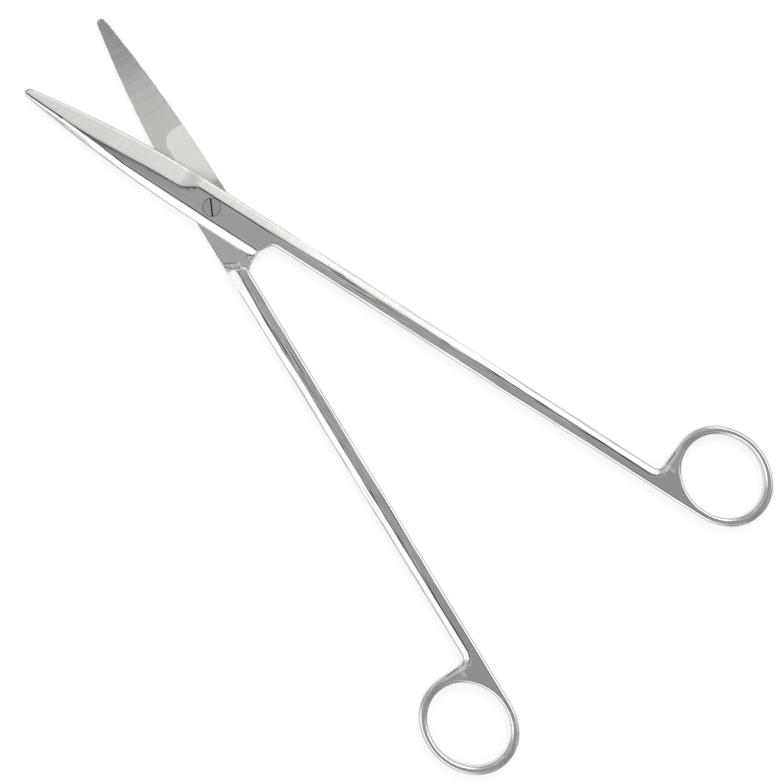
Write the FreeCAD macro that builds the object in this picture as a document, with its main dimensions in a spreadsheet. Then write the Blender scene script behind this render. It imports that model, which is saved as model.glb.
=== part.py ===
import FreeCAD, Part
import math
import os

import Sketcher
from FreeCAD import Placement, Rotation, Vector

# Driving dimensions, in millimetres and degrees. Each half is drawn alone, with its pivot at the
# origin, its ring towards +X, its shank on the +Y side and its outer face towards +Z.
DIMENSIONS = {
    "opening": 26.4,
    "half_thickness": 2.5,
    "joint_play": 0.02,
    "blade_length": 64.8,
    "tip_radius": 1.4,
    "tip_drop": 0.3,
    "joint_outer": 6.16,
    "joint_spine": 6.1,
    "handle_length": 185.0,
    "neck_width": 5.2,
    "neck_inset": 0.45,
    "neck_radius": 2.5,
    "closed_gap": 0.15,
    "shank_gap": 0.3,
    "joint_end": 17.5,
    "joint_end_rake": 28.0,
    "joint_end_radius": 2.0,
    "crotch_radius": 2.6,
    "shoulder_round": 2.3,
    "shoulder_gap": 0.15,
    "ring_long": 26.3,
    "ring_short": 22.7,
    "ring_end_bar": 2.8,
    "ring_side_bar": 2.3,
    "ring_tilt": 14.0,
    "edge_round": 1.05,
    "taper_start": 29.3,
    "tip_thickness": 1.05,
    "blade_edge": 0.3,
    "blade_slope": 20.5,
    "run_out_start": 12.3,
    "run_out_end": 5.9,
    "joint_ridge": 3.0,
    "joint_edge": 1.3,
    "joint_flat": 14.7,
    "shank_start": 44.0,
    "shank_bevel": 1.95,
    "shank_edge": 1.25,
    "spine_bevel": 2.6,
    "spine_edge": 1.1,
    "spine_tip_bevel": 2.0,
    "hollow_depth": 0.15,
    "hollow_radius": 60.0,
    "hollow_start": 25.8,
    "hollow_run": 5.0,
    "screw_radius": 1.7,
    "screw_clearance": 0.03,
    "head_radius": 2.7,
    "head_height": 1.1,
    "head_gap": 0.06,
    "slot_width": 0.45,
    "slot_depth": 0.8,
    "slot_turn": 141.7,
    "thread_radius": 1.45,
}

DOC = FreeCAD.newDocument("dissecting_scissors")
SHEET = DOC.addObject("Spreadsheet::Sheet", "Sizes")
CLOSE = 1e-3
GRIND_MARGIN = 0.4
RUN_OUT_STEPS = 10
OVAL_SHARE = 0.6
START, END, CENTRE = 1, 2, 3
ORIGIN = (-1, 1)


class Size:
    """A length or angle that carries its number and the expression that gives it."""

    def __init__(self, number, text):
        self.number = number
        self.text = text

    def __add__(self, other):
        other = as_size(other)
        return Size(self.number + other.number, f"({self.text} + {other.text})")

    def __sub__(self, other):
        other = as_size(other)
        return Size(self.number - other.number, f"({self.text} - {other.text})")

    def __mul__(self, other):
        other = as_size(other)
        return Size(self.number * other.number, f"({self.text} * {other.text})")

    def __truediv__(self, other):
        other = as_size(other)
        return Size(self.number / other.number, f"({self.text} / {other.text})")

    def __neg__(self):
        return Size(-self.number, f"(-1 * {self.text})")


def as_size(value):
    return value if isinstance(value, Size) else Size(float(value), f"({value})")


def root(value):
    return Size(math.sqrt(value.number), f"sqrt({value.text})")


def sine(angle):
    return Size(math.sin(math.radians(angle.number)), f"sin({angle.text} * 1 deg)")


def cosine(angle):
    return Size(math.cos(math.radians(angle.number)), f"cos({angle.text} * 1 deg)")


def tangent(angle):
    return Size(math.tan(math.radians(angle.number)), f"tan({angle.text} * 1 deg)")


for row, (name, number) in enumerate(DIMENSIONS.items(), start=1):
    SHEET.set(f"A{row}", name)
    SHEET.set(f"B{row}", str(number))
    SHEET.setAlias(f"B{row}", name)
DOC.recompute()


def dim(name):
    return Size(float(SHEET.get(name)), f"{SHEET.Name}.{name}")


ZERO = as_size(0)
THICK = dim("half_thickness")


def new_sketch(body, name, plane="XY_Plane", height=None):
    sketch = body.newObject("Sketcher::SketchObject", name)
    support = next(item for item in body.Origin.OriginFeatures if item.Role == plane)
    sketch.AttachmentSupport = [(support, "")]
    sketch.MapMode = "FlatFace"
    if height is not None:
        sketch.AttachmentOffset = Placement(Vector(0, 0, height.number), Rotation())
        sketch.setExpression("AttachmentOffset.Base.z", height.text)
    return sketch


def bind(sketch, kind, value, *where):
    """Adds a dimension to a sketch and ties it to the sheet."""
    turned = kind == "Angle"
    number = math.radians(value.number) if turned else value.number
    index = sketch.addConstraint(Sketcher.Constraint(kind, *where, number))
    sketch.setExpression(f"Constraints[{index}]", f"{value.text} * 1 deg" if turned else value.text)


def pin_point(sketch, geometry, position, point):
    for axis, value in zip(("DistanceX", "DistanceY"), point):
        bind(sketch, axis, value, *ORIGIN, geometry, position)


def as_vector(point):
    return Vector(point[0].number, point[1].number, 0)


def arc_between(centre, first, last):
    """Gives the shorter arc from one point to another, and which of its ends comes first."""
    middle = as_vector(centre)
    start, end = as_vector(first) - middle, as_vector(last) - middle
    leftwards = start.cross(end).z > 0
    angles = [math.atan2(arm.y, arm.x) for arm in ((start, end) if leftwards else (end, start))]
    circle = Part.Circle(middle, Vector(0, 0, 1), start.Length)
    return Part.ArcOfCircle(circle, *angles), (START, END) if leftwards else (END, START)


def closed_line(sketch, points, arcs={}):
    """Draws an outline through points, straight apart from arcs given as {first point: centre}."""
    ends = []
    for index, point in enumerate(points):
        following = points[(index + 1) % len(points)]
        if index in arcs:
            geometry, order = arc_between(arcs[index], point, following)
        else:
            geometry = Part.LineSegment(as_vector(point), as_vector(following))
            order = START, END
        sketch.addGeometry(geometry, False)
        ends.append(order)
    for index, point in enumerate(points):
        before = (index - 1) % len(points)
        meeting = before, ends[before][1], index, ends[index][0]
        sketch.addConstraint(Sketcher.Constraint("Coincident", *meeting))
        pin_point(sketch, index, ends[index][0], point)
    for index, centre in arcs.items():
        bind(sketch, "DistanceX", centre[0], *ORIGIN, index, CENTRE)


def disc(sketch, radius, centre=(ZERO, ZERO)):
    index = sketch.addGeometry(Part.Circle(as_vector(centre), Vector(0, 0, 1), radius.number), False)
    bind(sketch, "Radius", radius, index)
    pin_point(sketch, index, CENTRE, centre)


# The ring is an oval of four arcs, tight at its ends and flatter along its sides. Its long axis leans
# towards the half's centre line at the far end.
def ring_axes(end_bar, side_bar):
    return dim("ring_long") / 2 + end_bar, dim("ring_short") / 2 + side_bar


def oval(long, short):
    """Gives the radii of the end and side arcs, and how far their centres lie from the oval's."""
    tight = short - (long - short) * OVAL_SHARE
    flat = (long * long + short * short - long * tight * 2) / ((short - tight) * 2)
    return tight, flat, long - tight, flat - short


def ring_reach():
    tight, flat, end_offset, side_offset = oval(*ring_axes(dim("ring_end_bar"), dim("ring_side_bar")))
    tilt = dim("ring_tilt")
    return end_offset * cosine(tilt) + tight, flat - side_offset * cosine(tilt)


def ring_centre():
    reach, rise = ring_reach()
    return dim("handle_length") - reach, dim("closed_gap") + rise


def oval_centres(long, short):
    """Gives the centres of the lower side's arc, the far end's, the upper side's and the near end's."""
    end_offset, side_offset = oval(long, short)[2:]
    x, y = ring_centre()
    across, along = sine(dim("ring_tilt")), cosine(dim("ring_tilt"))
    return [
        (x + side_offset * across, y + side_offset * along),
        (x + end_offset * along, y - end_offset * across),
        (x - side_offset * across, y - side_offset * along),
        (x - end_offset * along, y + end_offset * across),
    ]


def draw_oval(sketch, long, short, opened=False):
    """Adds the four arcs. An opened oval starts at its lowest point and ends at its leftmost."""
    tight, flat, end_offset, side_offset = oval(long, short)
    centres = oval_centres(long, short)
    meeting = math.atan2(side_offset.number, end_offset.number)
    lean = math.radians(dim("ring_tilt").number)
    half = math.pi
    turns = [turn - lean for turn in (meeting - half, -meeting, meeting, half - meeting, half + meeting)]
    if opened:
        turns[0], turns[-1] = -math.pi / 2, math.pi
    first = sketch.GeometryCount
    for index, centre in enumerate(centres):
        radius = (flat, tight)[index % 2]
        circle = Part.Circle(as_vector(centre), Vector(0, 0, 1), radius.number)
        sketch.addGeometry(Part.ArcOfCircle(circle, turns[index], turns[index + 1]), False)
        bind(sketch, "Radius", radius, first + index)
    for index in (1, 3):
        pin_point(sketch, first + index, CENTRE, centres[index])
    for index in range(3 if opened else 4):
        following = first + (index + 1) % 4
        sketch.addConstraint(Sketcher.Constraint("Tangent", first + index, END, following, START))
    if opened:
        bind(sketch, "DistanceX", centres[0][0], *ORIGIN, first, CENTRE)
    return first


def neck_corner():
    """The neck is drawn from the ring's near end straight down to the shank's outer side."""
    return dim("handle_length") - ring_reach()[0] * 2 - dim("neck_inset"), dim("neck_width")


def outline(body):
    """Draws the half seen from above: blade, joint, shank and ring in one closed line."""
    sketch = new_sketch(body, "outline")
    axes = ring_axes(dim("ring_end_bar"), dim("ring_side_bar"))
    tight, flat = oval(*axes)[:2]
    centres = oval_centres(*axes)
    ring_low = as_vector(centres[0]) - Vector(0, flat.number, 0)
    ring_left = as_vector(centres[3]) - Vector(tight.number, 0, 0)
    radius = dim("tip_radius").number
    tip_at = (dim("tip_radius") - dim("blade_length"), -dim("tip_drop"))
    tip_middle = Vector(tip_at[0].number, tip_at[1].number, 0)
    outer_at = Vector(0, dim("joint_outer").number, 0)
    spine_at = Vector(0, -dim("joint_spine").number, 0)
    neck = neck_corner()
    corner = (dim("joint_end"), -dim("joint_spine"))
    crotch = (end_line(dim("shank_gap")), dim("shank_gap"))

    def blade_side(root_at, sign):
        # A large arc that leaves the joint level and touches the tip's arc.
        rise = sign * (root_at.y - tip_middle.y)
        bow = (tip_middle.x ** 2 + rise ** 2 - radius ** 2) / (2 * (rise - radius))
        middle = Vector(0, root_at.y - sign * bow, 0)
        touch = math.atan2(tip_middle.y - middle.y, tip_middle.x - middle.x) % (2 * math.pi)
        return Part.Circle(middle, Vector(0, 0, 1), bow), touch

    cutting, cutting_touch = blade_side(outer_at, 1)
    spine, spine_touch = blade_side(spine_at, -1)
    tip_circle = Part.Circle(tip_middle, Vector(0, 0, 1), radius)
    tip, edge, outer, web, inner, end, back, rear = range(8)
    sketch.addGeometry([
        Part.ArcOfCircle(tip_circle, cutting_touch, spine_touch),
        Part.ArcOfCircle(cutting, math.pi / 2, cutting_touch),
        Part.LineSegment(as_vector(neck), outer_at),
        Part.LineSegment(ring_left, as_vector(neck)),
        Part.LineSegment(as_vector(crotch), ring_low),
        Part.LineSegment(as_vector(corner), as_vector(crotch)),
        Part.LineSegment(spine_at, as_vector(corner)),
        Part.ArcOfCircle(spine, spine_touch, 3 * math.pi / 2),
    ], False)
    ring = draw_oval(sketch, *axes, opened=True)
    for kind, first, first_end, second, second_end in (
        ("Tangent", tip, START, edge, END),
        ("Tangent", edge, START, outer, END),
        ("Coincident", outer, START, web, END),
        ("Tangent", web, START, ring + 3, END),
        ("Tangent", ring, START, inner, END),
        ("Coincident", inner, START, end, END),
        ("Coincident", end, START, back, END),
        ("Tangent", back, START, rear, END),
        ("Tangent", tip, END, rear, START),
    ):
        sketch.addConstraint(Sketcher.Constraint(kind, first, first_end, second, second_end))
    bind(sketch, "Radius", dim("tip_radius"), tip)
    pin_point(sketch, tip, CENTRE, tip_at)
    pin_point(sketch, outer, END, (ZERO, dim("joint_outer")))
    pin_point(sketch, outer, START, neck)
    pin_point(sketch, back, START, (ZERO, -dim("joint_spine")))
    pin_point(sketch, back, END, corner)
    pin_point(sketch, inner, START, crotch)
    return sketch


def pad(body, name, sketch, length):
    feature = body.newObject("PartDesign::Pad", name)
    feature.Profile = sketch
    feature.Midplane = True
    feature.setExpression("Length", length.text)


def pocket(body, name, sketch, length=None, both_ways=False):
    feature = body.newObject("PartDesign::Pocket", name)
    feature.Profile = sketch
    feature.Midplane = both_ways
    if length is None:
        feature.Type = "ThroughAll"
    else:
        feature.setExpression("Length", length.text)
    return feature


def edges(feature, wanted):
    """Names the edges of a feature's shape that a test picks out."""
    return [f"Edge{index}" for index, edge in enumerate(feature.Shape.Edges, start=1) if wanted(edge)]


def fillet(body, name, base, wanted, radius):
    DOC.recompute()
    feature = body.newObject("PartDesign::Fillet", name)
    feature.Base = (base, edges(base, wanted))
    feature.setExpression("Radius", radius.text)
    return feature


def stands_at(x, y):
    """Picks the upright edge at a place in plan."""
    def wanted(edge):
        box = edge.BoundBox
        upright = max(box.XLength, box.YLength) < CLOSE < box.ZLength
        return upright and math.hypot(box.XMin - x.number, box.YMin - y.number) < CLOSE
    return wanted


def lies_at(height):
    def wanted(edge):
        box = edge.BoundBox
        return max(abs(box.ZMin - height), abs(box.ZMax - height)) < CLOSE
    return wanted


def section_cut(body, name, plane, sections):
    """Cuts away the body swept through straight-sided sections that stand along an axis."""
    sketches = []
    for index, (place, points, arcs) in enumerate(sections):
        sketch = new_sketch(body, f"{name}_section_{index}", plane, place)
        closed_line(sketch, points, arcs)
        sketches.append(sketch)
    feature = body.newObject("PartDesign::SubtractiveLoft", name)
    feature.Profile = sketches[0]
    feature.Sections = sketches[1:]
    feature.Ruled = True


def ground_triangle(ridge, edge, side):
    """Gives the corner that grinding takes off a section, with a margin past both ends of its line."""
    run = tuple(b - a for a, b in zip(ridge, edge))
    over = tuple(a - step * GRIND_MARGIN for a, step in zip(ridge, run))
    under = tuple(b + step * GRIND_MARGIN for b, step in zip(edge, run))
    return [(y, z * side) for y, z in (over, under, (under[0], over[1]))]


def grind(body, name, stations, side=1):
    """Grinds a bevel: each station holds x and the two ends of the ground line in its section."""
    sections = [(x, ground_triangle(ridge, edge, side), {}) for x, ridge, edge in stations]
    section_cut(body, name, "YZ_Plane", sections)


# The blade's two sides leave the joint level and bow in to the tip, so each is a parabola in x.
TIP_X = dim("tip_radius") - dim("blade_length")
OUTER_SLOPE = (dim("neck_width") - dim("joint_outer")) / neck_corner()[0]


def outer_y(x):
    return dim("joint_outer") + OUTER_SLOPE * x


def cutting_y(x):
    bow = dim("tip_radius") - dim("tip_drop") - outer_y(TIP_X)
    return outer_y(x) + bow * (x / TIP_X) * (x / TIP_X)


def spine_y(x):
    bow = dim("joint_spine") - dim("tip_radius") - dim("tip_drop")
    return bow * (x / TIP_X) * (x / TIP_X) - dim("joint_spine")


def blade_station(x):
    edge = (cutting_y(x), dim("blade_edge"))
    ridge = (edge[0] - (THICK - edge[1]) / tangent(dim("blade_slope")), THICK)
    return x, ridge, edge


def joint_station(x):
    return x, (dim("joint_ridge"), THICK), (outer_y(x), dim("joint_edge"))


def shank_station(x):
    return x, (outer_y(x) - dim("shank_bevel"), THICK), (outer_y(x), dim("shank_edge"))


def run_out_stations():
    """Eases the blade's bevel up to the joint's, as the grinding wheel left it."""
    start, end = -dim("run_out_start"), -dim("run_out_end")
    low, high = blade_station(start), joint_station(end)
    stations = []
    for step in range(RUN_OUT_STEPS + 1):
        share = step / RUN_OUT_STEPS
        ease = 3 * share ** 2 - 2 * share ** 3
        x = start + (end - start) * share
        ridge = tuple(a + (b - a) * ease for a, b in zip(low[1], high[1]))
        edge = (cutting_y(x), low[2][1] + (high[2][1] - low[2][1]) * ease)
        stations.append((x, ridge, edge))
    return stations


def bevel_path(body):
    """Runs along the shank's outer side, round the neck and on past the ring's near end. It clears the
    ring by the width of the edge rounding, so that the bevel dies away there."""
    sketch = new_sketch(body, "bevel_path")
    neck, turn = neck_corner(), dim("neck_radius")
    axes = ring_axes(dim("ring_end_bar"), dim("ring_side_bar"))
    clear, centre = oval(*axes)[0] + dim("edge_round"), oval_centres(*axes)[3]
    start = (dim("shank_start"), outer_y(dim("shank_start")))
    last = centre[1] + clear * 0.6
    before = Vector(neck[0].number - turn.number, neck[1].number, 0)
    after = Vector(neck[0].number, neck[1].number + turn.number, 0)
    middle = Vector(before.x, after.y, 0)
    along, bend, up, corner, near_end = range(5)
    bend_circle = Part.Circle(middle, Vector(0, 0, 1), turn.number)
    sketch.addGeometry([
        Part.LineSegment(as_vector(start), before),
        Part.ArcOfCircle(bend_circle, -math.pi / 2, 0),
        Part.LineSegment(after, Vector(after.x, last.number, 0)),
    ], False)
    ring_circle = Part.Circle(as_vector(centre), Vector(0, 0, 1), clear.number)
    sketch.addGeometry([Part.Point(as_vector(neck)), ring_circle], True)
    bind(sketch, "Radius", turn, bend)
    bind(sketch, "Radius", clear, near_end)
    pin_point(sketch, corner, START, neck)
    pin_point(sketch, near_end, CENTRE, centre)
    pin_point(sketch, along, START, start)
    for line in (along, up):
        sketch.addConstraint(Sketcher.Constraint("PointOnObject", corner, START, line))
    sketch.addConstraint(Sketcher.Constraint("Tangent", along, END, bend, START))
    sketch.addConstraint(Sketcher.Constraint("Tangent", bend, END, up, START))
    sketch.addConstraint(Sketcher.Constraint("Tangent", up, near_end))
    bind(sketch, "DistanceY", last, *ORIGIN, up, END)
    return sketch


def neck_bevel(body, name, path, side):
    """Carries the shank's bevel at one width round the neck."""
    x, ridge, edge = shank_station(dim("shank_start"))
    sketch = new_sketch(body, f"{name}_section", "YZ_Plane", x)
    closed_line(sketch, ground_triangle(ridge, edge, side))
    feature = body.newObject("PartDesign::SubtractivePipe", name)
    feature.Profile = sketch
    feature.Spine = path


def outer_bevels(body):
    beyond = dim("blade_length") * -1.02
    blade = [blade_station(x) for x in (beyond, TIP_X * 0.8, TIP_X * 0.55, TIP_X * 0.35)]
    rest = [joint_station(dim("joint_flat")), shank_station(dim("shank_start"))]
    grind(body, "outer_bevel", blade + run_out_stations() + rest)
    grind(body, "lower_bevel", [joint_station(ZERO)] + rest, -1)
    path = bevel_path(body)
    neck_bevel(body, "outer_neck_bevel", path, 1)
    neck_bevel(body, "lower_neck_bevel", path, -1)


def spine_bevel(body):
    def station(x, width, height):
        return x, (spine_y(x) + width, THICK), (spine_y(x), height)
    joint = station(ZERO, dim("spine_bevel"), dim("spine_edge"))
    grind(body, "spine_grind", [
        (dim("joint_end") * 1.2, *joint[1:]),
        joint,
        station(-dim("taper_start"), dim("spine_tip_bevel"), dim("spine_edge")),
        station(dim("blade_length") * -1.02, dim("spine_tip_bevel"), dim("spine_edge") / 2),
    ])


def blade_taper(body):
    """Thins the blade towards its tip, along an arc seen from the side."""
    sketch = new_sketch(body, "taper_line", "XZ_Plane")
    start = (-dim("taper_start"), THICK)
    tip = (-dim("blade_length"), dim("tip_thickness"))
    past, above = tip[0] * 1.03, THICK * 1.2
    run, drop = start[0] - tip[0], start[1] - tip[1]
    centre = (start[0], start[1] - (run * run + drop * drop) / (drop * 2))
    closed_line(sketch, [start, tip, (past, tip[1]), (past, above), (start[0], above)], {0: centre})
    pocket(body, "blade_taper", sketch, both_ways=True)


def end_line(y):
    """Gives the x of the joint's raked end, seen from above."""
    return dim("joint_end") + (y + dim("joint_spine")) * tangent(dim("joint_end_rake"))


def lap_joint(body):
    """Halves the thickness from the tip to the shoulder. The shoulder is a hollow quarter round, and
    the joint's end a full one, so that each half's end beds in the other's shoulder when closed."""
    level, gap, turn = dim("joint_play"), dim("shank_gap"), dim("crotch_radius")
    radius, rake = dim("shoulder_round"), dim("joint_end_rake")
    far = dim("joint_outer") * 2
    beyond = dim("blade_length") * -1.2
    deep = THICK * 1.2
    corner = end_line(-gap) + dim("shoulder_gap")
    touch = turn * tangent((as_size(90) - rake) / 2)
    nose = (corner - touch * sine(rake), gap + touch * cosine(rake))
    side = new_sketch(body, "side_relief", "XY_Plane", level)
    closed_line(side, [(beyond, -far), (corner * 2, -far), (corner * 2, gap), (corner + touch, gap), nose,
                       (beyond, nose[1])], {3: (corner + touch, gap + turn)})
    pocket(body, "side_cut", side)
    sections = []
    for y in (nose[1], far):
        wall = end_line(-y) + dim("shoulder_gap")
        points = [(beyond, level), (wall - radius, level), (wall, level - radius), (wall, -deep),
                  (beyond, -deep)]
        sections.append((-y, points, {1: (wall - radius, level - radius)}))
    section_cut(body, "lap_cut", "XZ_Plane", sections)
    sections = []
    for y in (-far, dim("shoulder_gap") - nose[1]):
        wall = end_line(y)
        points = [(wall - radius, level), (wall, level + radius), (corner * 2, level + radius),
                  (corner * 2, -deep), (wall - radius, -deep)]
        sections.append((-y, points, {0: (wall - radius, level + radius)}))
    section_cut(body, "end_cut", "XZ_Plane", sections)


def hollow_grind(body):
    """Hollows the inner face of the blade by a trace, so that only its edges bear."""
    sketch = new_sketch(body, "hollow_line", "XZ_Plane")
    radius = dim("hollow_radius")
    sketch.AttachmentOffset = Placement(Vector(0, -radius.number, 0), Rotation())
    sketch.setExpression("AttachmentOffset.Base.y", (-radius).text)
    face = radius + dim("joint_play")
    start = -dim("hollow_start")
    beyond = dim("blade_length") * -1.02
    full = (start - dim("hollow_run"), face + dim("hollow_depth"))
    closed_line(sketch, [(start, ZERO), (start, face), full, (beyond, face), (beyond, ZERO)])
    feature = body.newObject("PartDesign::Groove", "hollow_grind")
    feature.Profile = sketch
    feature.ReferenceAxis = (sketch, ["H_Axis"])
    feature.Angle = 360


def round_hole(body, name, radius, height=None, length=None):
    sketch = new_sketch(body, f"{name}_circle", "XY_Plane", height)
    disc(sketch, radius)
    pocket(body, name, sketch, length, both_ways=length is None)


def build_half(name):
    body = DOC.addObject("PartDesign::Body", name)
    body.Label = name
    pad(body, "blank", outline(body), THICK * 2)
    hole = new_sketch(body, "ring_hole")
    draw_oval(hole, *ring_axes(ZERO, ZERO))
    base = pocket(body, "ring_opening", hole, both_ways=True)
    crotch = (end_line(dim("shank_gap")), dim("shank_gap"))
    base = fillet(body, "neck_fillet", base, stands_at(*neck_corner()), dim("neck_radius"))
    base = fillet(body, "crotch_fillet", base, stands_at(*crotch), dim("crotch_radius"))
    corner = stands_at(dim("joint_end"), -dim("joint_spine"))
    base = fillet(body, "corner_fillet", base, corner, dim("joint_end_radius"))
    top, bottom = lies_at(THICK.number), lies_at(-THICK.number)
    fillet(body, "edge_rounding", base, lambda edge: top(edge) or bottom(edge), dim("edge_round"))
    lap_joint(body)
    blade_taper(body)
    outer_bevels(body)
    spine_bevel(body)
    hollow_grind(body)
    return body


def build_screw():
    """Turns the slotted screw: a flush head, a smooth bearing and a threaded end."""
    body = DOC.addObject("PartDesign::Body", "pivot_screw")
    body.Label = "pivot_screw"
    sketch = new_sketch(body, "screw_section", "XZ_Plane")
    under = THICK - dim("head_height")
    closed_line(sketch, [
        (ZERO, -THICK), (dim("thread_radius"), -THICK), (dim("thread_radius"), -dim("joint_play")),
        (dim("screw_radius"), -dim("joint_play")), (dim("screw_radius"), under),
        (dim("head_radius"), under), (dim("head_radius"), THICK), (ZERO, THICK),
    ])
    turned = body.newObject("PartDesign::Revolution", "turned_screw")
    turned.Profile = sketch
    turned.ReferenceAxis = (sketch, ["V_Axis"])
    turned.Angle = 360
    slot = new_sketch(body, "slot_outline", "XY_Plane", THICK)
    half, reach = dim("slot_width") / 2, dim("head_radius") * 1.2
    closed_line(slot, [(-reach, -half), (reach, -half), (reach, half), (-reach, half)])
    pocket(body, "slot", slot, dim("slot_depth"))
    return body


front = build_half("front_half")
round_hole(front, "front_bore", dim("screw_radius") + dim("screw_clearance"))
seat_radius = dim("head_radius") + dim("head_gap")
round_hole(front, "head_seat", seat_radius, THICK, dim("head_height") + dim("joint_play"))
rear = build_half("rear_half")
round_hole(rear, "rear_bore", dim("thread_radius"))
screw = build_screw()

# The halves are turned about the pivot, half the opening to each side. The rear one is rolled over
# about the line that halves the angle between its own centre line and the world's.
upright = "vector(0; 0; 1)"
roll = dim("opening") / 4
for body, axis, angle in (
    (front, upright, dim("opening") / 2 + 180),
    (rear, f"vector({sine(roll).text}; {cosine(roll).text}; 0)", as_size(180)),
    (screw, upright, dim("slot_turn")),
):
    turn = f"rotation({axis}; {angle.text} * 1 deg)"
    body.setExpression("Placement", f"placement(vector(0; 0; {THICK.text}); {turn})")
DOC.recompute()

faults = [item.Name for item in DOC.Objects if {"Invalid", "Error"} & set(item.State)]
parts = (front, rear, screw)
faults += [item.Label for item in parts if item.Shape.isNull() or not item.Shape.isValid()]
if faults:
    raise SystemExit(f"not built: {', '.join(faults)}")

os.makedirs("parts", exist_ok=True)
for item in parts:
    item.Shape.exportStep(f"parts/{item.Label}.step")
    box = item.Shape.BoundBox
    print(f"{item.Label}: {item.Shape.Volume:.1f} mm3, {len(item.Shape.Solids)} solid,",
          f"{box.XLength:.2f} x {box.YLength:.2f} x {box.ZLength:.2f} mm")
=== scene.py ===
import math
from functools import partial

import bmesh
import bpy
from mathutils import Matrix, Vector
from mathutils.kdtree import KDTree


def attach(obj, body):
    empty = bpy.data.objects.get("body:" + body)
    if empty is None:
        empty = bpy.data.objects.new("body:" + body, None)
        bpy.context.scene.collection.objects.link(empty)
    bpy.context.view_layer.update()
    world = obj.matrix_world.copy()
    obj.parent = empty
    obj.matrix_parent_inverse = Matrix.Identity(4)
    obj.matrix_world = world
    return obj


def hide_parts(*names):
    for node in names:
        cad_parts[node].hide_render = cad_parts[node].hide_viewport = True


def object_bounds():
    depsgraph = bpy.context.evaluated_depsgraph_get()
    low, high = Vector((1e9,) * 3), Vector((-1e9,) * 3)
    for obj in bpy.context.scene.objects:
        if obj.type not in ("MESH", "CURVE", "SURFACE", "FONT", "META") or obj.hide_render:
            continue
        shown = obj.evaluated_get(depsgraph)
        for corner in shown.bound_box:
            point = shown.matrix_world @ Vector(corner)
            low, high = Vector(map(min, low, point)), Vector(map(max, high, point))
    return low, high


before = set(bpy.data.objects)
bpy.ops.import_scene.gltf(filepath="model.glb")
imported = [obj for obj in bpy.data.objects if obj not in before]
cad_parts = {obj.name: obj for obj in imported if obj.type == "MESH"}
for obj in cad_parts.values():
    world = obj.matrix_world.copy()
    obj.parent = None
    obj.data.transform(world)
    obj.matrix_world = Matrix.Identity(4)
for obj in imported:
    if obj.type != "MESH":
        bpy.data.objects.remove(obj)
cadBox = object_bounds()
mm = 0.001
print("frame loaded:", ", ".join(sorted(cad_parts)))

# What the photograph's frame holds, seen straight from above.
shot = {
    "size": (781, 784),  # pixels
    "pixel": 0.2934 * mm,  # real size of one pixel at the scissors
    "pivot": (211.5, 207.3),  # where the pivot lies in the frame
    "turn": -134.37,  # degrees from the world's X to the frame's right side
    "lens": 100,
    "sensor": 36,
    "clip": (0.05, 50),  # nearest and farthest seen, in camera distances
}

scene = bpy.context.scene
scene.view_settings.view_transform = "Standard"


def makeCamera():
    data = bpy.data.cameras.new("camera")
    data.lens = shot["lens"]
    data.sensor_width = shot["sensor"]
    width, height = shot["size"]
    distance = height * shot["pixel"] * data.lens / data.sensor_width
    turn = math.radians(shot["turn"])
    right = Vector((math.cos(turn), math.sin(turn), 0))
    up = Vector((-math.sin(turn), math.cos(turn), 0))
    column, row = shot["pivot"]
    centre = right * (width / 2 - column) * shot["pixel"] - up * (height / 2 - row) * shot["pixel"]
    camera = bpy.data.objects.new("camera", data)
    camera.location = (centre.x, centre.y, cadBox[1].z + distance)
    camera.rotation_euler = (0, 0, turn)
    data.clip_start, data.clip_end = (distance * share for share in shot["clip"])
    scene.collection.objects.link(camera)
    scene.camera = camera


makeCamera()
print("camera placed")


def linear(value):
    return value / 12.92 if value <= 0.04045 else ((value + 0.055) / 1.055) ** 2.4


def hexColour(text):
    # An sRGB hex value as the linear colour that sockets take.
    return [linear(int(text[i:i + 2], 16) / 255) for i in (1, 3, 5)] + [1]


def addNode(tree, kind, inputs=(), **settings):
    # Adds a node, sets its properties, and fills or links its inputs, given in order or by name.
    # A node that is given as an input stands for its first output. Numbers are mixed at a Mix node's
    # inputs 2 and 3, and colours at 6 and 7, with output 2.
    node = tree.nodes.new(kind)
    for name, value in settings.items():
        setattr(node, name, value)
    for name, value in inputs.items() if isinstance(inputs, dict) else enumerate(inputs):
        if isinstance(value, bpy.types.Node):
            value = value.outputs[0]
        if isinstance(value, bpy.types.NodeSocket):
            tree.links.new(value, node.inputs[name])
        else:
            node.inputs[name].default_value = value
    return node


# Settings that many nodes share.
times = {"operation": "MULTIPLY"}
largest = {"operation": "MAXIMUM"}
smooth = {"interpolation_type": "SMOOTHSTEP"}

# The studio that the steel reflects, in degrees. Strip lights stand along both sides of the scissors,
# so its brightness follows the angle across the blades, from straight up: the dim patch round the lens,
# a pale rim, a thin black seam, and the bright strips. In the patch it also follows the angle along them.
studio = {
    "across": [(0, 0.5), (3, 0.58), (6, 0.48), (10, 0.8), (14, 0.78), (17, 0.05), (28, 0.05), (32, 1.05),
               (44, 1.5), (60, 2.1), (72, 2.1), (82, 1.1), (90, 0.2)],
    "along": [(-60, 0.8), (-25, 0.66), (-9, 0.84), (0, 0.97), (7, 1.08), (12, 0.54), (16, 0.2), (20, 0.2),
              (25, 0.8), (32, 1.3), (60, 1.5)],
    "peak": 2.1,
    "patch": (34, 18),  # across, over which the patch begins
    "ends": (32, 55),  # round from the Y axis, over which the strips and the seam end
    "clear": (14, 18),  # across, within which they have no ends
    "horizon": (77, 68),  # from straight up, over which what lies past their ends gets brighter
    "pastEnds": (0.2, 0.78),
    "plain": 0.9,  # what lights matt surfaces
}


def setStops(ramp, stops, first):
    # The angles run from first to 90 degrees over the ramp's length.
    colours = ramp.color_ramp
    colours.interpolation = "EASE"
    while len(colours.elements) < len(stops):
        colours.elements.new(0.5)
    for element, (angle, brightness) in zip(colours.elements, stops):
        level = brightness / studio["peak"]
        element.position = (angle - first) / (90 - first)
        element.color = (level, level, level, 1)


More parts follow.
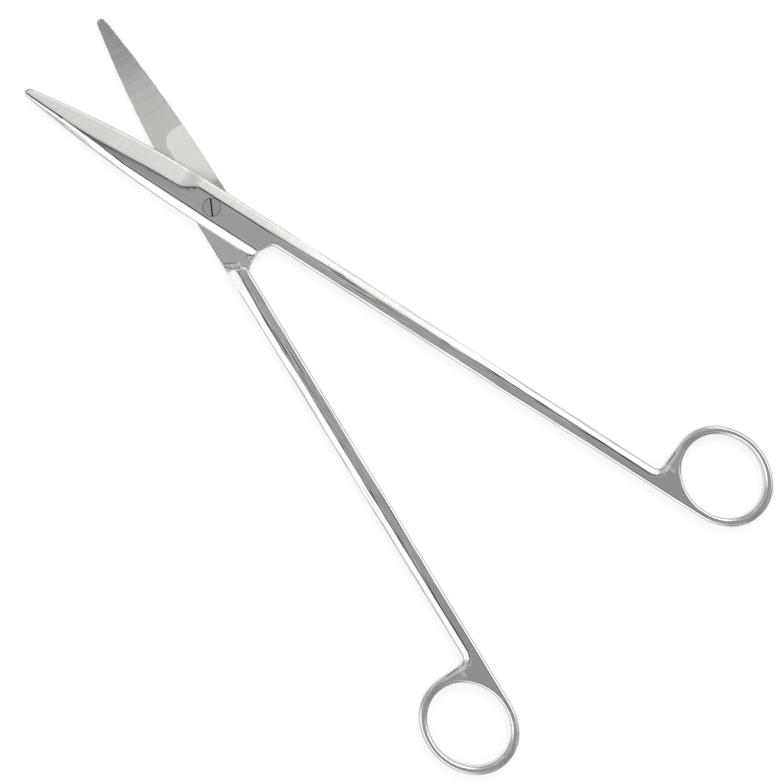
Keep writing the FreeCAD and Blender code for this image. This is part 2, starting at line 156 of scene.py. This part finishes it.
def makeWorld():
    world = bpy.data.worlds.new("studio")
    scene.world = world
    world.use_nodes = True
    world.node_tree.nodes.clear()
    add = partial(addNode, world.node_tree)
    rays = add("ShaderNodeLightPath").outputs
    direction = add("ShaderNodeTexCoord").outputs["Generated"]
    parts = add("ShaderNodeSeparateXYZ", [direction]).outputs
    x, y, height = (add("ShaderNodeMath", [part], operation="ABSOLUTE") for part in parts)
    across = add("ShaderNodeMath", (y, height), operation="ARCTAN2")
    along = add("ShaderNodeMath", (parts["X"], height), operation="ARCTAN2")
    aside = add("ShaderNodeMath", (x, y), operation="ARCTAN2")
    quarter = math.pi / 2

    # The strips, the seam and the rim, and the patch between them.
    strips = add("ShaderNodeValToRGB", [add("ShaderNodeMapRange", (across, 0, quarter))])
    setStops(strips, studio["across"], 0)
    lengthwise = add("ShaderNodeValToRGB", [add("ShaderNodeMapRange", (along, -quarter, quarter))])
    setStops(lengthwise, studio["along"], -90)
    limits = {key: [math.radians(angle) for angle in studio[key]] for key in ("patch", "ends", "clear")}
    inPatch = add("ShaderNodeMapRange", (across, *limits["patch"]))
    dimmed = add("ShaderNodeMath", (lengthwise, studio["peak"]), **times)
    share = add("ShaderNodeMix", {0: inPatch, 2: 1, 3: dimmed})
    tent = add("ShaderNodeMath", (add("ShaderNodeMath", (strips, share), **times), studio["peak"]), **times)

    # Past the strips' ends it is plain, and dark at the horizon.
    beyond = add("ShaderNodeMath", (add("ShaderNodeMapRange", (aside, *limits["ends"])),
                                    add("ShaderNodeMapRange", (across, *limits["clear"]))), **times)
    horizon = [math.cos(math.radians(angle)) for angle in studio["horizon"]]
    pastEnds = add("ShaderNodeMapRange", (height, *horizon, *studio["pastEnds"]))
    reflected = add("ShaderNodeMix", {0: beyond, 2: tent, 3: pastEnds})

    # Only the steel's reflections see all this.
    lit = add("ShaderNodeMix", {0: rays["Is Glossy Ray"], 2: studio["plain"], 3: reflected})
    seen = add("ShaderNodeMix", {0: rays["Is Camera Ray"], 2: lit, 3: 1})
    background = add("ShaderNodeBackground", {"Color": hexColour("#ffffff"), "Strength": seen})
    add("ShaderNodeOutputWorld", {"Surface": background})


makeWorld()

# White paper, so brightly lit that the camera and the steel see it partly burnt out.
paper = {"side": 3.0, "colour": "#f4f4f2", "burntOut": 0.72, "glow": 1.05}


def makeFloor():
    bm = bmesh.new()
    bmesh.ops.create_grid(bm, x_segments=1, y_segments=1, size=paper["side"] / 2)
    mesh = bpy.data.meshes.new("floor")
    bm.to_mesh(mesh)
    bm.free()
    floor = bpy.data.objects.new("floor", mesh)
    scene.collection.objects.link(floor)
    material = bpy.data.materials.new("white paper")
    material.use_nodes = True
    material.node_tree.nodes.clear()
    add = partial(addNode, material.node_tree)
    rays = add("ShaderNodeLightPath").outputs
    matt = add("ShaderNodeBsdfDiffuse", {"Color": hexColour(paper["colour"])})
    glow = add("ShaderNodeEmission", {"Color": hexColour("#ffffff"), "Strength": paper["glow"]})
    looking = add("ShaderNodeMath", (rays["Is Camera Ray"], rays["Is Glossy Ray"]), **largest)
    share = add("ShaderNodeMath", (looking, paper["burntOut"]), **times)
    add("ShaderNodeOutputMaterial", {"Surface": add("ShaderNodeMixShader", (share, matt, glow))})
    mesh.materials.append(material)


makeFloor()

softbox = {"place": (0.2, -0.5, 0.9), "side": 0.5, "power": 4}


def makeSoftbox():
    data = bpy.data.lights.new("softbox", "AREA")
    data.shape = "DISK"
    data.size = softbox["side"]
    data.energy = softbox["power"]
    lamp = bpy.data.objects.new("softbox", data)
    lamp.location = softbox["place"]
    lamp.rotation_euler = (-lamp.location).to_track_quat("-Z", "Y").to_euler()
    lamp.visible_glossy = False
    scene.collection.objects.link(lamp)


makeSoftbox()
print("studio lit")

# Each half lies turned about the pivot, in degrees, and the rear one is rolled over.
halves = {
    "front": {"turn": 193.2, "rolled": False},
    "rear": {"turn": 166.8, "rolled": True},
}
buffing = {
    "radius": 0.9,  # mm from a crease over which the wheel turns the surface
    "sharpRadius": 0.3,  # the same at a square edge
    "crease": 17,  # degrees between two faces that make a crease
    "square": 75,  # degrees from which an edge is left nearly sharp
    "sample": 0.2,  # mm between the places on a crease
    "clear": 2.95,  # mm round the pivot where the seat's rim stays crisp
    "shoulder": {"along": (13, 25), "depth": (0.35, 2.6)},  # mm, the joint's hollow end, with crisp edges
    "ring": 152,  # mm along from which the ring's rounds run into each other
    "bend": 33,  # degrees between two faces that make a crease on the shoulder and the ring
    "same": 0.001,  # mm within which two points are one
    "level": 0.05,  # degrees within which two faces are one
    "cuts": [("sideways", -6.6, 6.6, 0.22), ("sideways", 7, 15, 0.5),  # mm: first, last and step
             ("lengthwise", -64, 145, 1.6), ("lengthwise", 146, 176, 0.5)],
}


def buffHalf(name, half):
    # A skin over the solid half. It keeps the shape and is only cut finer, and its shading turns softly
    # over each crease, as a buffing wheel leaves it.
    turn = math.radians(half["turn"])
    flip = -1 if half["rolled"] else 1
    ways = {
        "lengthwise": Vector((math.cos(turn), math.sin(turn), 0)),
        "sideways": Vector((-math.sin(turn), math.cos(turn), 0)) * flip,
    }
    same = buffing["same"] * mm
    bm = bmesh.new()
    bm.from_mesh(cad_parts[f"{name}_half"].data)
    bmesh.ops.remove_doubles(bm, verts=bm.verts, dist=same)
    bmesh.ops.dissolve_limit(bm, angle_limit=math.radians(buffing["level"]), verts=bm.verts, edges=bm.edges)
    for way, first, last, step in buffing["cuts"]:
        for number in range(round((last - first) / step) + 1):
            bmesh.ops.bisect_plane(bm, geom=bm.verts[:] + bm.edges[:] + bm.faces[:], dist=same,
                                   plane_co=ways[way] * (first + number * step) * mm, plane_no=ways[way])
    bm.normal_update()

    crease, bend, square = (math.cos(math.radians(buffing[key])) for key in ("crease", "bend", "square"))
    (near, far), (low, high) = buffing["shoulder"].values()

    def isShoulder(place):
        depth = cadBox[1].z - place.z if half["rolled"] else place.z
        return near < place.dot(ways["lengthwise"]) / mm < far and low < depth / mm < high

    def leastAngle(place):
        return bend if isShoulder(place) or place.dot(ways["lengthwise"]) > buffing["ring"] * mm else crease

    creases = []
    for edge in bm.edges:
        one, two = (face.normal for face in edge.link_faces)
        start, end = (vert.co for vert in edge.verts)
        middle = (start + end) / 2
        if one.dot(two) < leastAngle(middle) and math.hypot(middle.x, middle.y) > buffing["clear"] * mm:
            soft = one.dot(two) > square and not isShoulder(middle)
            reach = buffing["radius" if soft else "sharpRadius"] * mm
            count = max(1, math.ceil((end - start).length / (buffing["sample"] * mm)))
            for number in range(count):
                creases.append((start.lerp(end, (number + 0.5) / count), one.copy(), two.copy(), reach))
    tree = KDTree(len(creases))
    for i, (place, *_) in enumerate(creases):
        tree.insert(place, i)
    tree.balance()

    def softened(place, facing):
        turned = facing.copy()
        seen = []
        for _, i, distance in tree.find_range(place, buffing["radius"] * mm):
            _, one, two, reach = creases[i]
            other = two if facing.dot(one) > crease else one if facing.dot(two) > crease else None
            if other is None or distance > reach or any(other.dot(known) > crease for known in seen):
                continue
            seen.append(other)
            turned += other * (1 - distance / reach) ** 2
        return turned.normalized()

    normals = []
    for face in bm.faces:
        face.smooth = True
        for vert in face.verts:
            limit = leastAngle(vert.co)
            facing = sum((beside.normal * beside.calc_area() for beside in vert.link_faces
                          if beside.normal.dot(face.normal) > limit), Vector()).normalized()
            normals.append(softened(vert.co, facing))
    skin = bpy.data.meshes.new(f"{name}_buffed")
    bm.to_mesh(skin)
    bm.free()
    skin.normals_split_custom_set(normals)
    piece = bpy.data.objects.new(f"{name}_buffed", skin)
    scene.collection.objects.link(piece)
    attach(piece, name)
    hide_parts(f"{name}_half")
    print("buffed", name, len(skin.polygons), len(creases))
    return piece


steel = {
    "polished": "#c9c8c5",
    "satin": "#cac9c6",
    "hollow": "#dad9d6",
    "land": "#f2f0ec",  # the flat that bears on the other blade, ground matt
    "paintedRecessShade": "#161615",  # painted shade: near black in the screw's slot and in the hairline gap round its head
    "polishedRoughness": (0.06, 0.12),
    "satinRoughness": 0.36,
    "hollowRoughness": (0.27, 0.62),  # at the tip, and next to the land
    "landRoughness": 0.68,
    "lapRoughness": 0.2,
    "paintedShadeRoughness": 0.6,
    "markRoughness": (-0.07, 0.07),
}
# The marks that the finishing leaves: how often they repeat along, across and in depth, per mm,
# their lean in degrees, and the noise's detail and roughness.
grain = {
    "marks": ((1 / 0.5, 0.07, 0.07), 9, 4, 0.65),  # ground 0.5 mm apart, not the real 0.05, so they show
    "mottle": ((0.12, 0.12, 0.12), 0, 2, 0.5),
    "waves": ((0.03, 1 / 0.9, 1 / 0.9), 0, 2, 0.5),  # left 0.9 mm apart by the buffing wheel
}
middling = (0.3, 0.7)  # where most of a noise's values lie
# The rest is in mm in the half's own frame. Pairs are the places over which a finish comes in or ends,
# and slopes has the same for the normal's shares towards the edge and away from the other half.
slopes = {"edge": (0.2, 0.3), "bevel": (0.6, 0.75), "inner": (-0.9, -0.95), "flat": (0.97, 0.99)}
blade = {"bevel": (108, 64), "inner": (24, 22), "worn": (-62, -27), "mark": 0.006}
land = {"start": -25.8, "side": 2.0, "round": 4.0, "end": -8.0, "blur": 0.35, "fade": 3}
streak = {"start": (18, 45), "end": (148, 128), "height": 0.17, "least": 0.03}
crown = {"start": (24, 54), "end": (150, 125), "middle": 2.72, "lean": -0.003, "sag": 0.026}
ring = {"start": (150, 156), "centre": (169.19, 13.94, 0), "middle": (14.55, 12.5), "tilt": 14, "reach": 0.8,
        "sag": 0.15, "webSide": (9, 6.5), "webEnd": (177, 171)}


def startSteel(name, turn=0, rolled=False):
    # Gives the material, what adds its nodes, and a point's place and normal in the half's own directions.
    material = bpy.data.materials.new(name)
    material.use_nodes = True
    material.node_tree.nodes.clear()
    add = partial(addNode, material.node_tree)
    flip = -1 if rolled else 1
    coords = add("ShaderNodeTexCoord").outputs
    back = (0, 0, -math.radians(turn) * flip)
    scale = Vector((1, flip, 1))
    place = add("ShaderNodeMapping", {"Vector": coords["Object"], "Rotation": back, "Scale": scale / mm})
    normal = add("ShaderNodeMapping", {"Vector": coords["Normal"], "Rotation": back, "Scale": scale},
                 vector_type="NORMAL")
    return material, add, place, normal


def addMask(add, mask, *ramps):
    # The mask, kept only where each value is past its ramp's end.
    for ramp in ramps:
        mask = add("ShaderNodeMath", (mask, add("ShaderNodeMapRange", ramp, **smooth)), **times)
    return mask


def finishSteel(add, colour, roughness, relief):
    # The relief is a height in mm.
    bump = add("ShaderNodeBump", {"Height": relief, "Strength": 1, "Distance": mm})
    shader = add("ShaderNodeBsdfPrincipled", {"Base Color": colour, "Roughness": roughness, "Metallic": 1,
                                              "Normal": bump})
    add("ShaderNodeOutputMaterial", {"Surface": shader})


def steelMaterial(name, half):
    # Martensitic stainless steel: buffed to a near mirror on the shank, ring and flats, and ground
    # crosswise on the blade's bevels and inner face, which gives the eye a pale satin.
    material, add, place, normal = startSteel(name, half["turn"], half["rolled"])
    along, across, _ = add("ShaderNodeSeparateXYZ", [place]).outputs
    _, towardsEdge, upwards = add("ShaderNodeSeparateXYZ", [normal]).outputs
    outwards = add("ShaderNodeMath", (upwards, -1 if half["rolled"] else 1), **times)

    bevel = addMask(add, 1, (towardsEdge, *slopes["edge"]), (outwards, *slopes["bevel"]),
                    (along, *blade["bevel"]))
    inner = addMask(add, 1, (outwards, *slopes["inner"]), (along, *blade["inner"]))
    satin = add("ShaderNodeMath", (bevel, inner), **largest)

    # The land's far corner is an arc: the reach is how far a point lies past the arc's centre.
    centre = (land["start"] + land["round"], land["side"] - land["round"], 0)
    corner = add("ShaderNodeVectorMath", (place, centre), operation="SUBTRACT")
    corner = add("ShaderNodeVectorMath", (corner, (-1, 1, 0)), **times)
    corner = add("ShaderNodeVectorMath", (corner, (0, 0, 0)), **largest)
    reach = add("ShaderNodeVectorMath", [corner], operation="LENGTH").outputs["Value"]
    rim = (land["round"] + land["blur"], land["round"] - land["blur"])
    fade = land["end"] + land["fade"]
    bearing = addMask(add, inner, (reach, *rim), (along, fade, land["end"]))
    lap = addMask(add, inner, (along, land["end"], fade))

    noises = []
    for scale, lean, detail, roughness in grain.values():
        stretched = add("ShaderNodeMapping", {"Vector": place, "Rotation": (0, 0, math.radians(lean)),
                                              "Scale": scale})
        noises.append(add("ShaderNodeTexNoise", {"Vector": stretched, "Scale": 1, "Detail": detail,
                                                 "Roughness": roughness}).outputs["Fac"])
    marks, mottle, waves = noises

    colour = hexColour(steel["polished"])
    for mask, tone in ((bevel, "satin"), (inner, "hollow"), (bearing, "land")):
        colour = add("ShaderNodeMix", {0: mask, 6: colour, 7: hexColour(steel[tone])}, data_type="RGBA")
        colour = colour.outputs[2]
    hollow = add("ShaderNodeMapRange", (along, *blade["worn"], *steel["hollowRoughness"]), **smooth)
    ground = steel["satinRoughness"]
    for mask, level in ((inner, hollow), (bearing, steel["landRoughness"]), (lap, steel["lapRoughness"])):
        ground = add("ShaderNodeMix", {0: mask, 2: ground, 3: level})
    grit = add("ShaderNodeMapRange", (marks, *middling, *steel["markRoughness"]), **smooth)
    ground = add("ShaderNodeMath", (ground, grit), operation="ADD")
    polished = add("ShaderNodeMapRange", (mottle, *middling, *steel["polishedRoughness"]), **smooth)
    roughness = add("ShaderNodeMix", {0: satin, 2: polished, 3: ground})

    # The shank's flats are slightly crowned about a middle line that leans.
    level = add("ShaderNodeMath", [outwards], operation="ABSOLUTE")
    flat = addMask(add, -crown["sag"], (level, *slopes["flat"]), (along, *crown["start"]),
                   (along, *crown["end"]))
    middle = add("ShaderNodeMath", (along, crown["lean"], crown["middle"]), operation="MULTIPLY_ADD")
    beside = add("ShaderNodeMath", (across, middle), operation="SUBTRACT")

    # The ring's bar is rounder on top than its rounded edges alone make it, except on its web.
    oval = add("ShaderNodeMapping", {"Vector": place, "Location": ring["centre"],
                                     "Rotation": (0, 0, -math.radians(ring["tilt"])),
                                     "Scale": (*ring["middle"], 1000)}, vector_type="TEXTURE")
    size = add("ShaderNodeVectorMath", [oval], operation="LENGTH").outputs["Value"]
    past = add("ShaderNodeMath", (size, 1), operation="SUBTRACT")
    past = add("ShaderNodeMath", (past, sum(ring["middle"]) / 2), **times)
    past = add("ShaderNodeMath", [past], operation="ABSOLUTE")
    past = add("ShaderNodeMath", (past, ring["reach"]), operation="MINIMUM")
    web = addMask(add, 1, (across, *ring["webSide"]), (along, *ring["webEnd"]))
    free = add("ShaderNodeMath", (1, web), operation="SUBTRACT")
    bar = addMask(add, free, (along, *ring["start"]))

    buffed = add("ShaderNodeMath", (1, satin), operation="SUBTRACT")
    streaks = addMask(add, streak["height"], (along, *streak["start"]), (along, *streak["end"]))
    streaks = add("ShaderNodeMath", (streaks, streak["least"]), operation="ADD")
    relief = 0
    for factors in ((satin, marks, blade["mark"]), (buffed, waves, streaks), (flat, beside, beside),
                    (bar, past, past, -ring["sag"])):
        height = 1
        for factor in factors:
            height = add("ShaderNodeMath", (height, factor), **times)
        relief = add("ShaderNodeMath", (relief, height), operation="ADD")
    finishSteel(add, colour, roughness, relief)
    return material


# The screw's head, in mm.
screw = {
    "top": 5.0,
    "slot": (0.05, 0.3),  # depths over which painted shade darkens its slot
    "radius": 2.7,
    "gap": 0.1,  # the hairline of painted shade round it
    "ringScale": 1.2,  # the wave's scale, which sets the lathe's rings 0.26 apart so that they show
    "ringWaver": 0.4,
    "ringHeight": 0.002,
}


def screwMaterial():
    # The same steel, turned on a lathe, with its slot milled. Painted shade, a near-black rough colour,
    # darkens the slot and the hairline gap round the head.
    material, add, place, _ = startSteel("turned stainless steel")
    level = add("ShaderNodeVectorMath", (place, (1, 1, 0)), **times)
    reach = add("ShaderNodeVectorMath", [level], operation="LENGTH").outputs["Value"]
    height = add("ShaderNodeSeparateXYZ", [place]).outputs["Z"]
    # Painted shade: the slot's depths and the hairline gap round the head are coloured near black and made
    # rough.
    slot = addMask(add, 1, (height, *(screw["top"] - depth for depth in screw["slot"])))
    gap = addMask(add, 1, (reach, screw["radius"] - screw["gap"], screw["radius"] - screw["gap"] / 2))
    paintedShade = add("ShaderNodeMath", (slot, gap), **largest)
    colour = add("ShaderNodeMix", {0: paintedShade, 6: hexColour(steel["polished"]), 7: hexColour(steel["paintedRecessShade"])},
                 data_type="RGBA").outputs[2]
    roughness = add("ShaderNodeMix", {0: paintedShade, 2: steel["lapRoughness"], 3: steel["paintedShadeRoughness"]})
    rings = add("ShaderNodeTexWave", {"Vector": place, "Scale": screw["ringScale"],
                                      "Distortion": screw["ringWaver"]},
                wave_type="RINGS", rings_direction="Z").outputs["Fac"]
    finishSteel(add, colour, roughness, add("ShaderNodeMath", (rings, screw["ringHeight"]), **times))
    return material


def dress(node, material):
    node.data.materials.clear()
    node.data.materials.append(material)
    print("dressed", node.name)


for name, half in halves.items():
    dress(buffHalf(name, half), steelMaterial(f"ground stainless steel {name}", half))
dress(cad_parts["pivot_screw"], screwMaterial())
